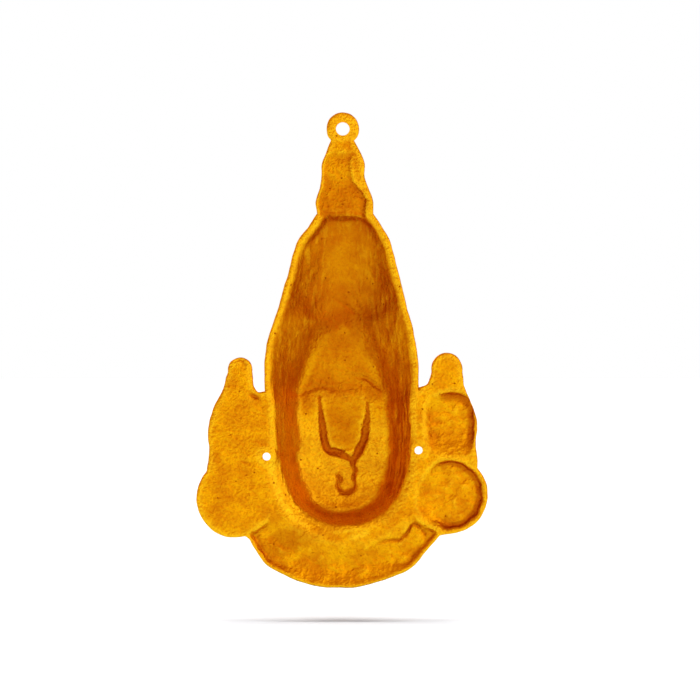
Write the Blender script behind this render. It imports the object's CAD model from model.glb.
# Looks of the cast brass deity face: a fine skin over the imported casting, strings of cast beads,
# sand-cast brass, a white floor, soft light and the photograph's camera.
# Shapes are drawn in millimetres on a 152 mm high drawing. x and z are plan places, +x to the
# right seen from the front, and a height is how far the front stands out from the wall (to -Y).

import math

import bmesh
import bpy
import numpy as np
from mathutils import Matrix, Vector, noise
from mathutils.geometry import delaunay_2d_cdt


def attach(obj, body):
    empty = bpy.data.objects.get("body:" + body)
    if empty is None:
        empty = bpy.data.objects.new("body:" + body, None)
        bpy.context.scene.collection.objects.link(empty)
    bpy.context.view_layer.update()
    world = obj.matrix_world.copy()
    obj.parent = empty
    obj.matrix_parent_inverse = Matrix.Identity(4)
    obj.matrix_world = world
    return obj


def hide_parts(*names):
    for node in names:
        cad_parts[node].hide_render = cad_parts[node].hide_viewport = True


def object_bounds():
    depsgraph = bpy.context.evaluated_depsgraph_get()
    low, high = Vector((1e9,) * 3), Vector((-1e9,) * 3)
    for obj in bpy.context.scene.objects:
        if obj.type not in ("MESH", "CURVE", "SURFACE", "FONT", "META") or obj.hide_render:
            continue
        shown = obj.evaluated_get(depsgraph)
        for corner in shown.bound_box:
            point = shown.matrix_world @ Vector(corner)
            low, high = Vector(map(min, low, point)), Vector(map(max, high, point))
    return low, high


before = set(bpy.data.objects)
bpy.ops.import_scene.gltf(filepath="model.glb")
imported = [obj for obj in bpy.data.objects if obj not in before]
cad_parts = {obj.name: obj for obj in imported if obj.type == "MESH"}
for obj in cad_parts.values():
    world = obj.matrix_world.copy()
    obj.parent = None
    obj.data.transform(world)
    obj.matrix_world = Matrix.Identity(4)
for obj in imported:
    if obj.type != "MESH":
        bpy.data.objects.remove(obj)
cadLow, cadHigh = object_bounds()
drawnHeight = 152.14  # from the collar's foot to the eye's top
toMetres = (cadHigh.z - cadLow.z) / drawnHeight
castingNode = "deity_mask_casting"
print("frame loaded")


# Curves and ramps

def smoothStep(value, low, high):
    share = np.clip((value - low) / (high - low), 0.0, 1.0)
    return share * share * (3.0 - 2.0 * share)


def smoothMax(first, second, blend):  # the larger one, rounded where they cross
    share = np.clip(0.5 + (first - second) / (2.0 * blend), 0.0, 1.0)
    return second + (first - second) * share + blend * share * (1.0 - share)


def along(z, stations):  # smooth through (z, value), no overshoot
    heights, values = np.array(sorted(stations), float).T
    secants = np.diff(values) / np.diff(heights)
    before, after = secants[:-1], secants[1:]
    agree = before * after > 0
    total = np.where(agree, before + after, 1.0)
    middle = np.where(agree, 2 * before * after / total, 0.0)
    slopes = np.concatenate([secants[:1], middle, secants[-1:]])
    at = np.clip(z, heights[0], heights[-1])
    span = np.clip(np.searchsorted(heights, at) - 1, 0, len(heights) - 2)
    width = heights[span + 1] - heights[span]
    share = (at - heights[span]) / width
    start = values[span] * (1 + 2 * share) + slopes[span] * width * share
    end = values[span + 1] * (3 - 2 * share) + slopes[span + 1] * width * (share - 1)
    return start * (1 - share) ** 2 + end * share ** 2


def easedRamp(distance, run, easeIn, easeOut):  # 0 to 1 over run, eased at foot and top
    slope = 1.0 / (run - (easeIn + easeOut) / 2.0)
    at = np.clip(distance, 0.0, run)
    rise = slope * (at - easeIn / 2.0)
    foot = slope * at ** 2 / (2.0 * np.maximum(easeIn, 1e-6))
    top = 1.0 - slope * (run - at) ** 2 / (2.0 * np.maximum(easeOut, 1e-6))
    return np.where(at < easeIn, foot, np.where(at > run - easeOut, top, rise))


def roundRise(share, power=2.0):  # a quarter of a rounded section
    return (1.0 - (1.0 - np.clip(share, 0.0, 1.0)) ** power) ** (1.0 / power)


def mound(x, z, centre, halfSizes, turn=0.0, power=1.0):
    dx, dz = x - centre[0], z - centre[1]
    across = (dx * math.cos(turn) + dz * math.sin(turn)) / halfSizes[0]
    up = (dz * math.cos(turn) - dx * math.sin(turn)) / halfSizes[1]
    return np.clip(1.0 - across ** 2 - up ** 2, 0.0, 1.0) ** power


def ridge(distance, halfWidth, power=0.6):  # a rounded ridge beside its middle line
    return np.clip(1.0 - (distance / halfWidth) ** 2, 0.0, 1.0) ** power


def leafReach(up, halfWidth, swell):
    return halfWidth * np.sin(math.pi * np.clip(up, 0.0, 1.0) ** swell) ** 0.6


def leaf(across, up, halfWidth, swell=0.8):  # a pointed leaf's domed blade
    reach = leafReach(up, halfWidth, swell) + 1e-6
    return np.clip(1.0 - (across / reach) ** 2, 0.0, 1.0) ** 0.6 * ((up > 0) & (up < 1))


def lumps(x, z, size, layer):  # smooth noise from -1 to 1
    return np.array([noise.noise(Vector((a / size, layer, b / size))) for a, b in zip(x, z)])


def inBatches(distances):  # keeps the distance tables small
    def batched(x, z, shape, batch=4000):
        parts = [distances(x[i:i + batch], z[i:i + batch], shape) for i in range(0, len(x), batch)]
        return np.concatenate(parts, axis=-1)
    return batched


@inBatches
def lineDistance(x, z, line):  # rows: distance, share of the way along
    points = np.asarray(line, float)
    starts, steps = points[:-1], np.diff(points, axis=0)
    lengths = np.hypot(*steps.T)
    run = np.concatenate([[0.0], np.cumsum(lengths)])
    dx, dz = x[:, None] - starts[:, 0], z[:, None] - starts[:, 1]
    share = np.clip((dx * steps[:, 0] + dz * steps[:, 1]) / lengths ** 2, 0.0, 1.0)
    gap = np.hypot(dx - share * steps[:, 0], dz - share * steps[:, 1])
    nearest = gap.argmin(axis=1)
    rows = np.arange(len(x))
    place = run[nearest] + share[rows, nearest] * lengths[nearest]
    return np.stack([gap[rows, nearest], place / run[-1]])


@inBatches
def loopDistance(x, z, loop):  # positive inside the closed loop
    ends = np.roll(loop, -1, axis=0)
    steps = ends - loop
    dx, dz = x[:, None] - loop[:, 0], z[:, None] - loop[:, 1]
    share = np.clip((dx * steps[:, 0] + dz * steps[:, 1]) / (steps ** 2).sum(axis=1), 0.0, 1.0)
    gap = np.hypot(dx - share * steps[:, 0], dz - share * steps[:, 1]).min(axis=1)
    spans = (loop[:, 1] > z[:, None]) != (ends[:, 1] > z[:, None])
    rise = np.where(np.abs(steps[:, 1]) < 1e-9, 1e-9, steps[:, 1])
    crossings = spans & (dx < dz * steps[:, 0] / rise)
    return np.where(crossings.sum(axis=1) % 2 == 1, gap, -gap)


def smoothThrough(points, steps=8):  # a Catmull-Rom line through the points
    points = np.asarray(points, float)
    padded = np.vstack([2 * points[0] - points[1], points, 2 * points[-1] - points[-2]])
    curve = []
    for before, start, end, after in zip(padded, padded[1:], padded[2:], padded[3:]):
        for t in np.arange(steps) / steps:
            curve.append(0.5 * (
                2 * start + (end - before) * t
                + (2 * before - 5 * start + 4 * end - after) * t ** 2
                + (3 * start - 3 * end + after - before) * t ** 3
            ))
    return np.vstack([curve, points[-1:]])


def arc(centre, radius, startDegrees, endDegrees):
    angles = np.radians(np.linspace(startDegrees, endDegrees, 49))
    return np.array(centre) + radius * np.column_stack([np.cos(angles), np.sin(angles)])


def ring(centre, radius, count):
    angles = np.arange(count) * math.tau / count
    return np.array(centre) + radius * np.column_stack([np.cos(angles), np.sin(angles)])


def spaced(line, spacing):  # even spacing, both ends kept
    run = np.concatenate([[0.0], np.cumsum(np.hypot(*np.diff(line, axis=0).T))])
    at = np.linspace(0.0, run[-1], max(2, round(run[-1] / spacing) + 1))
    return np.column_stack([np.interp(at, run, line[:, 0]), np.interp(at, run, line[:, 1])])


# The casting's plan: outline, head and holes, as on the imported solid

castingPlan = {
    "spireEdge": (  # z, reach to +X, reach to -X
        (-7.6, 5.5, 5.7), (-11.3, 6.8, 7.0), (-15.2, 6.6, 7.1), (-19.0, 7.4, 8.2),
        (-23.2, 8.8, 9.6), (-27.2, 8.2, 9.7),
    ),
    "crownEdge": (
        (-27.2, 8.2, 9.7), (-30.8, 10.6, 12.2), (-36.3, 14.5, 15.3), (-45.9, 17.4, 17.8),
        (-57.4, 20.6, 20.7), (-65.1, 23.4, 22.6), (-74.0, 25.0, 24.1), (-84.0, 25.0, 24.3),
    ),
    "eyeRadius": 5.2,
    "neckHalfWidth": 3.6,
    "conchTip": ((32.9, -77.2), 3.9),
    "discusTip": ((-33.3, -76.9), 5.1),
    "conchNotch": ((25.0, -84.0), (27.1, -84.2), (28.5, -82.4)),
    "discusNotch": ((-27.9, -79.6), (-26.9, -81.7), (-24.3, -82.8)),
    "conchSide": (
        (37.4, -79.6), (38.2, -82.6), (40.9, -88.1), (42.8, -94.0), (43.1, -99.0), (42.8, -102.6),
        (43.2, -107.0),
    ),
    "discusSide": (
        (-43.2, -106.6), (-42.7, -101.5), (-43.1, -95.8), (-42.6, -91.8), (-40.6, -86.5),
        (-38.7, -81.8),
    ),
    "conchRosette": ((34.2, -118.2), 12.7),
    "discusRosette": ((-33.7, -117.2), 12.7),
    "collarEdge": (
        (29.8, -131.6), (28.1, -134.6), (24.2, -139.8), (16.2, -144.0), (8.0, -146.6),
        (1.0, -147.0), (-6.0, -146.5), (-15.4, -143.8), (-22.5, -140.0), (-27.4, -134.6),
        (-31.0, -130.3),
    ),
    "faceCentre": (-0.3, -98.0),
    "faceHalfWidth": 24.6,
    "faceDrop": 31.9,
    "facePower": 2.3,
    "eyeHole": ((0.0, 0.0), 2.2),
    "screwHoles": (((24.4, -105.0), 1.3), ((-24.3, -103.0), 1.3)),
    "seatWidth": 1.3,
    "mouthLift": 3.3,  # the hollow starts under the spire
    "loopSpacing": 0.8,
}


def edgeLine(name, column):  # column 1 is the +X edge, 2 the -X edge
    sign = 1.0 if column == 1 else -1.0
    return smoothThrough([(sign * row[column], row[0]) for row in castingPlan[name]])


def joinedLoop(pieces, spacing):
    return np.vstack([spaced(piece, spacing)[:-1] for piece in pieces])


def outlineLoop(spacing):  # clockwise seen from the front
    p = castingPlan
    neck = math.degrees(math.acos(p["neckHalfWidth"] / p["eyeRadius"]))
    eye = arc((0.0, 0.0), p["eyeRadius"], 180 + neck, -neck)
    plusSpire, minusSpire = edgeLine("spireEdge", 1), edgeLine("spireEdge", 2)
    plusCrown, minusCrown = edgeLine("crownEdge", 1), edgeLine("crownEdge", 2)
    pieces = [
        np.vstack([eye, plusSpire[:1]]),
        plusSpire,
        plusCrown,
        np.vstack([smoothThrough(p["conchNotch"]), arc(*p["conchTip"], 190, -10),
                   smoothThrough(p["conchSide"])]),
        np.vstack([p["conchSide"][-1:], arc(*p["conchRosette"], 42, -103), p["collarEdge"][:1]]),
        smoothThrough(p["collarEdge"]),
        np.vstack([p["collarEdge"][-1:], arc(*p["discusRosette"], 258, 138), p["discusSide"][:1]]),
        np.vstack([smoothThrough(p["discusSide"]), arc(*p["discusTip"], 190, -10),
                   smoothThrough(p["discusNotch"])]),
        np.vstack([p["discusNotch"][-1:], minusCrown[::-1]]),
        np.vstack([minusSpire[::-1], eye[:1]]),
    ]
    return joinedLoop(pieces, spacing)


def faceReach(turn):  # the face oval's radius in a direction
    power = castingPlan["facePower"]
    across = np.abs(np.cos(turn) / castingPlan["faceHalfWidth"]) ** power
    down = np.abs(np.sin(turn) / castingPlan["faceDrop"]) ** power
    return (across + down) ** (-1.0 / power)


def facePlace(x, z):  # direction, and distance beyond the oval
    dx, dz = x - castingPlan["faceCentre"][0], z - castingPlan["faceCentre"][1]
    turn = np.arctan2(dz, dx)
    return turn, np.hypot(dx, dz) - faceReach(turn)


def fromFacePlace(turn, out):
    reach = faceReach(turn) + out
    offsets = np.column_stack([np.cos(turn) * reach, np.sin(turn) * reach])
    return np.array(castingPlan["faceCentre"]) + offsets


def headLoop(spacing, lift=0.0):  # the deep head's foot
    plusCrown, minusCrown = edgeLine("crownEdge", 1), edgeLine("crownEdge", 2)
    face = fromFacePlace(np.linspace(0.0, -math.pi, 97), 0.0)
    top = np.array([minusCrown[0], plusCrown[0]]) + (0.0, lift)
    pieces = [
        np.vstack([minusCrown[:1], top, plusCrown[:1]]),
        plusCrown,
        np.vstack([plusCrown[-1:], face, minusCrown[-1:]]),
        minusCrown[::-1],
    ]
    return joinedLoop(pieces, spacing)


def holeCircles():
    return [castingPlan["eyeHole"], *castingPlan["screwHoles"]]


loops = {
    "outline": outlineLoop(castingPlan["loopSpacing"]),
    "head": headLoop(castingPlan["loopSpacing"]),
    "rim": headLoop(castingPlan["loopSpacing"], lift=castingPlan["mouthLift"]),
}


# Front carving

frontForm = {
    "headDepth": 19.0,
    "flange": 3.0,
    "edge": 1.6,
    "crownFoot": -84.5,
    "headShares": (
        (-24.0, 0.16), (-28.0, 0.26), (-33.0, 0.40), (-40.0, 0.54), (-50.0, 0.70), (-62.0, 0.83),
        (-74.0, 0.92), (-84.0, 0.95), (-92.0, 0.95), (-102.0, 0.97), (-112.0, 0.98),
        (-119.0, 0.95), (-125.0, 0.86), (-131.0, 0.66),
    ),
    "run": (
        (-28.0, 7.0), (-40.0, 14.0), (-60.0, 19.0), (-84.0, 19.0), (-96.0, 15.5), (-131.0, 13.5),
    ),
}
crownCarving = {
    "rings": ((-32.4, 1.2, 0.7), (-43.4, 1.5, 0.9), (-58.2, 1.7, 1.1), (-76.0, 1.6, 1.1)),
    "footBand": (-81.2, 3.2, 1.7),
    "leaves": (  # foot, tip, count, rise
        (-41.8, -33.4, 5, 0.9), (-56.4, -44.8, 7, 1.1), (-74.2, -59.8, 7, 1.3),
    ),
    "jewels": 7,
    "plaque": {"foot": -78.6, "tip": -52.0, "halfWidth": 7.4, "swell": 0.62},
    "stone": {"centre": (0.0, -70.5), "halfSizes": (2.8, 3.4)},
    "spire": (
        (-4.8, 1.8), (-8.6, 2.6), (-12.5, 4.4), (-16.4, 3.0), (-18.0, 3.0), (-23.0, 5.0),
        (-27.2, 4.4),
    ),
    "spireRings": (-8.8, -17.2, -26.8),
}
flankCarving = {
    "discusCentre": (-33.7, -95.6), "spokes": 8, "flames": 12,
    "conchCentre": (34.0, -95.4), "conchHalfSizes": (7.8, 11.0), "conchTurn": -0.16, "whorl": 4.4,
    "petals": 12,
    "leafPitch": math.radians(10.0), "leafStart": 4.4, "leafEnd": 12.8, "leafHalfWidth": 3.4,
    "pendantCentre": (-0.4, -138.0), "pendantHalfSizes": (3.6, 4.8),
    "rosetteRim": 0.87,  # share of the radius
    "discusRim": 6.4, "collarRidge": 2.0, "hemInset": 1.8,
}
markBars = (
    ((7.7, -86.0), (7.2, -91.0), (6.7, -96.0), (6.0, -100.5), (4.6, -103.3), (1.6, -104.2),
     (-0.8, -105.4), (-3.0, -106.6)),
    ((-7.9, -88.0), (-7.9, -92.5), (-7.3, -97.0), (-6.6, -100.6), (-5.2, -103.6), (-3.0, -107.0)),
)
calmFace = {  # half a face: distance to the side, z
    "middle": -0.8,
    "brow": ((5.6, -99.6), (8.4, -97.4), (12.0, -96.8), (15.6, -98.6), (18.2, -101.4)),
    "upperLid": ((5.4, -104.2), (7.6, -102.0), (10.6, -101.2), (13.6, -102.2), (16.2, -104.8)),
    "lidEdge": ((5.4, -104.4), (8.0, -105.1), (10.8, -105.3), (13.8, -105.0), (16.2, -104.8)),
    "noseBridge": -101.0, "noseBase": -116.0, "noseHalfWidth": 4.6, "noseRise": 4.6,
    "mouth": ((0.0, -120.5), (2.4, -120.2), (4.6, -120.6), (6.6, -120.1)),
    "forms": (  # rise, centre, half sizes, turn, power
        (-1.7, (10.4, -103.0), (8.6, 6.0), 0.0, 1.6),  # eye socket
        (2.7, (10.7, -103.7), (6.2, 3.7), 0.0, 0.8),  # eye
        (1.1, (12.0, -112.5), (8.0, 7.5), 0.0, 2.0),  # cheek
        (-0.6, (7.6, -117.5), (2.6, 4.6), 0.5, 1.5),  # fold beside the mouth
        (1.5, (1.7, -119.4), (4.6, 1.6), -0.12, 0.8),  # upper lip
        (1.7, (0.0, -122.2), (5.0, 1.9), 0.0, 0.8),  # lower lip
        (-0.35, (0.0, -117.6), (0.9, 1.6), 0.0, 1.0),  # groove under the nose
        (1.5, (0.0, -127.0), (5.8, 3.4), 0.0, 1.3),  # chin
    ),
}


def reaches(z, rows):  # how far to +X and to -X at this height
    return [along(z, [(row[0], row[side]) for row in rows]) for side in (1, 2)]


def widthAt(z, name):  # middle and half width of spire or crown
    plus, minus = reaches(z, castingPlan[name])
    return (plus - minus) / 2, (plus + minus) / 2


def crownTurn(x, z):
    middle, halfWidth = widthAt(z, "crownEdge")
    return np.arcsin(np.clip((x - middle) / halfWidth, -1.0, 1.0)), halfWidth


def leafTurns(count):
    return (np.arange(count) - (count - 1) / 2) * math.pi / count


def carvedLeaf(across, up, halfWidth, rise, swell=0.8):  # blade with a raised rim and a rib
    blade = leaf(across, up, halfWidth, swell)
    reach = leafReach(up, halfWidth, swell) + 1e-6
    inside = blade > 0
    rim = ridge(np.abs(across) / reach - 0.82, 0.2) * inside
    rib = ridge(across, 0.35 + 0.1 * halfWidth)
    rib = rib * smoothStep(up, 0.02, 0.2) * smoothStep(up, 0.95, 0.7)
    return rise * (0.62 * blade + 0.34 * rim + 0.4 * rib * inside)


def crownHeight(x, z):
    c = crownCarving
    turn, halfWidth = crownTurn(x, z)
    height = np.zeros_like(x)
    for ringZ, halfHeight, rise in (*c["rings"], c["footBand"]):
        height = np.maximum(height, rise * ridge(z - ringZ, halfHeight, 0.5))
    for foot, tip, count, rise in c["leaves"]:
        up = (z - foot) / (tip - foot)
        leafWidth = halfWidth * math.pi / count * 0.48
        for middle in leafTurns(count):
            blade = carvedLeaf((turn - middle) * halfWidth, up, leafWidth, rise)
            height = np.maximum(height, blade)
        for middle in leafTurns(count + 1):  # small buds in the gaps
            bud = mound((turn - middle) * halfWidth, up, (0.0, 0.82), (0.9, 0.1), power=0.5)
            height = np.maximum(height, 0.7 * rise * bud)
    bandZ, _, bandRise = c["footBand"]
    for number, middle in enumerate(leafTurns(2 * c["jewels"] - 1)):
        wide = 2.3 if number % 2 == 0 else 1.0
        across, up = (turn - middle) * halfWidth / wide, (z - bandZ) / (2.2 if wide > 2 else 1.0)
        jewel = np.sqrt(np.clip(1.0 - across ** 2 - up ** 2, 0.0, 1.0))
        rim = ridge(np.hypot(across, up) - 1.12, 0.14)
        height = np.maximum(height, bandRise * ((jewel > 0) | (rim > 0)) + 0.9 * jewel + 0.35 * rim)
    return height


def plaqueHeight(x, z):
    plaque = crownCarving["plaque"]
    up = (z - plaque["foot"]) / (plaque["tip"] - plaque["foot"])
    blade = leaf(x, up, plaque["halfWidth"], plaque["swell"])
    field = leaf(x, (up - 0.12) / 0.7, plaque["halfWidth"] * 0.68, plaque["swell"])
    stone = mound(x, z, **crownCarving["stone"], power=0.5)
    sides = [mound(x, z, (side * 3.4, -63.0), (1.5, 1.9), power=0.5) for side in (-1, 1)]
    drop = mound(x, z, (0.0, -61.0), (1.3, 3.4), power=0.5)
    gems = np.max([1.6 * stone, 0.8 * sides[0], 0.8 * sides[1], 0.9 * drop], axis=0)
    return 2.2 * smoothStep(blade, 0.0, 0.4) - 0.8 * smoothStep(field, 0.0, 0.5) + gems


def spireHeight(x, z):
    middle, halfWidth = widthAt(z, "spireEdge")
    section = np.sqrt(np.clip(1.0 - ((x - middle) / halfWidth) ** 2, 0.0, 1.0))
    height = along(z, crownCarving["spire"])
    for ringZ in crownCarving["spireRings"]:
        height = height + 0.7 * ridge(z - ringZ, 1.1) - 0.25 * ridge(np.abs(z - ringZ) - 1.5, 0.4)
    flutes = 0.5 + 0.5 * np.cos(np.arcsin(np.clip((x - middle) / halfWidth, -1, 1)) * 12.0)
    fluted = smoothStep(z, -18.6, -20.2) * smoothStep(z, -25.4, -24.0)
    height = height - 0.35 * flutes * fluted
    return height * section * smoothStep(z, -30.0, -27.6) * smoothStep(z, -4.8, -6.6)


def rosetteHeight(x, z, rosette):
    (cx, cz), radius = rosette
    turn, share = np.arctan2(z - cz, x - cx), np.hypot(x - cx, z - cz) / radius
    petals = flankCarving["petals"]
    outer = np.abs(np.cos(petals / 2 * turn)) ** 0.7 * ridge(share - 0.58, 0.2)
    vein = ridge(np.sin(petals / 2 * turn) * share * radius / 6, 0.1) * ridge(share - 0.56, 0.15)
    inner = np.abs(np.cos(petals / 4 * turn)) ** 0.7 * ridge(share - 0.29, 0.14)
    dish = 1.0 - smoothStep(share, 0.9, 1.04)
    rim = 1.2 * ridge(share - flankCarving["rosetteRim"], 0.1)
    parts = [1.4 * outer + 0.2 * vein, 1.9 * inner, rim, 2.8 * ridge(share, 0.17, 0.5)]
    return 0.9 * dish + np.max(parts, axis=0)


def discusHeight(x, z):
    f = flankCarving
    dx, dz = x - f["discusCentre"][0], z - f["discusCentre"][1]
    turn, out = np.arctan2(dz, dx), np.hypot(dx, dz)
    tongue = (0.5 + 0.5 * np.cos(f["flames"] * turn)) ** 0.5
    flames = np.clip(1.0 - np.abs(out - 8.2) / 1.9, 0.0, 1.0) ** 0.5 * tongue
    spokes = (0.5 + 0.5 * np.cos(f["spokes"] * turn)) ** 3 * (out < 6.2)
    rim = 1.7 * ridge(out - f["discusRim"], 1.2) - 0.4 * ridge(out - f["discusRim"], 0.35)
    parts = [flames, rim, 1.2 * spokes, 2.5 * ridge(out, 2.4, 0.5)]
    disc = 0.8 * smoothStep(out, 8.0, 7.0) + np.max(parts, axis=0)
    tip = castingPlan["discusTip"][0]
    tallFlame = carvedLeaf(x - tip[0], (z + 88.0) / 15.2, 3.8, 2.1, swell=0.75)
    return np.maximum(disc, tallFlame)


def conchHeight(x, z):
    f = flankCarving
    body = mound(x, z, f["conchCentre"], f["conchHalfSizes"], f["conchTurn"], power=0.5)
    slant = (z - f["conchCentre"][1]) + 0.45 * (x - f["conchCentre"][0])
    whorls = 0.5 + 0.5 * np.cos(slant * math.tau / f["whorl"])
    fine = 0.5 + 0.5 * np.cos((x - f["conchCentre"][0] - 0.3 * z) * math.tau / 1.5)
    mouth = mound(x, z, (31.0, -98.5), (1.8, 6.2), turn=-0.2)
    shell = body * (3.9 - 0.8 * whorls ** 2 - 0.12 * fine) - 1.4 * mouth
    tip = castingPlan["conchTip"][0]
    tallFlame = carvedLeaf(x - tip[0], (z + 88.0) / 14.2, 3.1, 2.1, swell=0.75)
    return np.maximum(shell, tallFlame)


def collarHeight(x, z, edge):
    f = flankCarving
    turn, out = facePlace(x, z)
    fromLeaf = turn - np.round(turn / f["leafPitch"]) * f["leafPitch"]
    up = (out - f["leafStart"]) / (f["leafEnd"] - f["leafStart"])
    blade = carvedLeaf(fromLeaf * (faceReach(turn) + out), up, f["leafHalfWidth"], 1.5, swell=1.25)
    hem = ridge(edge - f["hemInset"], 1.2) * smoothStep(out, 6.0, 9.0)
    pendant = mound(x, z, f["pendantCentre"], f["pendantHalfSizes"], power=0.5)
    dome = 0.7 * ridge(out - 8.0, 8.5, 1.0)
    parts = [ridge(out - f["collarRidge"], 1.5), blade, 2.4 * pendant, 0.9 * hem]
    return smoothStep(z, -117.0, -126.0) * (dome + np.max(parts, axis=0))


def noseHeight(side, z):
    f = calmFace
    down = np.clip((f["noseBridge"] - z) / (f["noseBridge"] - f["noseBase"]), 0.0, 1.3)
    halfWidth = f["noseHalfWidth"] * (0.62 + 0.38 * np.clip(down, 0.0, 1.0) ** 2)
    base = smoothStep(z, f["noseBase"] - 0.9, f["noseBase"] + 1.0)
    nose = f["noseRise"] * down ** 1.3 * ridge(side, halfWidth, 1.1) * base
    wings = 1.7 * mound(side, z, (3.5, f["noseBase"] + 1.9), (2.3, 2.1), power=0.8)
    nostrils = 0.9 * mound(side, z, (2.0, f["noseBase"] + 0.3), (1.2, 0.8))
    return smoothMax(nose, wings, 0.5) - 0.2 - nostrils


def faceHeight(x, z):
    f = calmFace
    side = np.abs(x - f["middle"])
    height = noseHeight(side, z)
    for rise, centre, halfSizes, turn, power in f["forms"]:
        height += rise * mound(side, z, centre, halfSizes, turn, power)
    brow, place = lineDistance(side, z, smoothThrough(f["brow"]))
    crease, lid, mouth = [
        lineDistance(side, z, smoothThrough(f[name]))[0] for name in ("upperLid", "lidEdge", "mouth")
    ]
    height += 1.3 * ridge(brow, 1.3, 0.8) * (1.0 - 0.6 * place)
    height -= 0.8 * ridge(crease, 0.75, 1.0)
    height += 0.9 * ridge(lid, 0.75, 0.8) - 0.6 * ridge(lid - 1.0, 0.5, 1.0) * (z < -105.0)
    height -= 1.1 * ridge(mouth, 0.75, 1.0)
    return height


def markHeight(x, z):
    height = np.zeros_like(x)
    for bar in markBars:
        gap, _ = lineDistance(x, z, smoothThrough(bar))
        height = np.maximum(height, 1.5 * smoothStep(gap, 1.9, 0.9))
    drop = leaf(x + 0.4, (z + 101.5) / 14.5, 1.7, swell=1.3)
    return np.maximum(height, 1.3 * drop)


def seated(x, z, height, level):  # a flat seat round each hole
    for centre, radius in holeCircles():
        out = np.hypot(x - centre[0], z - centre[1]) - radius - castingPlan["seatWidth"]
        height = height + (level - height) * smoothStep(out, 1.4, 0.0)
    return height


def headFront(z):
    return frontForm["headDepth"] * along(z, frontForm["headShares"])


def frontHeight(x, z):
    edge = loopDistance(x, z, loops["outline"])
    into = loopDistance(x, z, loops["head"])
    flanks = [
        rosetteHeight(x, z, castingPlan["conchRosette"]), discusHeight(x, z),
        rosetteHeight(x, z, castingPlan["discusRosette"]), conchHeight(x, z),
        collarHeight(x, z, edge),
    ]
    plate = frontForm["flange"] + np.max(flanks, axis=0)
    plate = np.maximum(plate, frontForm["edge"] + spireHeight(x, z))
    rise = roundRise(into / along(z, frontForm["run"]))
    inCrown = smoothStep(z, frontForm["crownFoot"] - 0.9, frontForm["crownFoot"] + 0.3)
    carving = inCrown * np.maximum(crownHeight(x, z), plaqueHeight(x, z))
    carving += (1.0 - inCrown) * np.maximum(faceHeight(x, z), markHeight(x, z))
    head = frontForm["edge"] + (headFront(z) - frontForm["edge"]) * rise
    head += carving * smoothStep(into, 0.0, 2.5)
    height = smoothMax(plate, np.where(into > 0, head, 0.0), 0.5)
    shoulder = np.where(into > 0, 1.0, roundRise(edge / 2.0))
    height = frontForm["edge"] + (height - frontForm["edge"]) * shoulder
    return seated(x, z, height, frontForm["flange"])


# Hollow back

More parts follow.
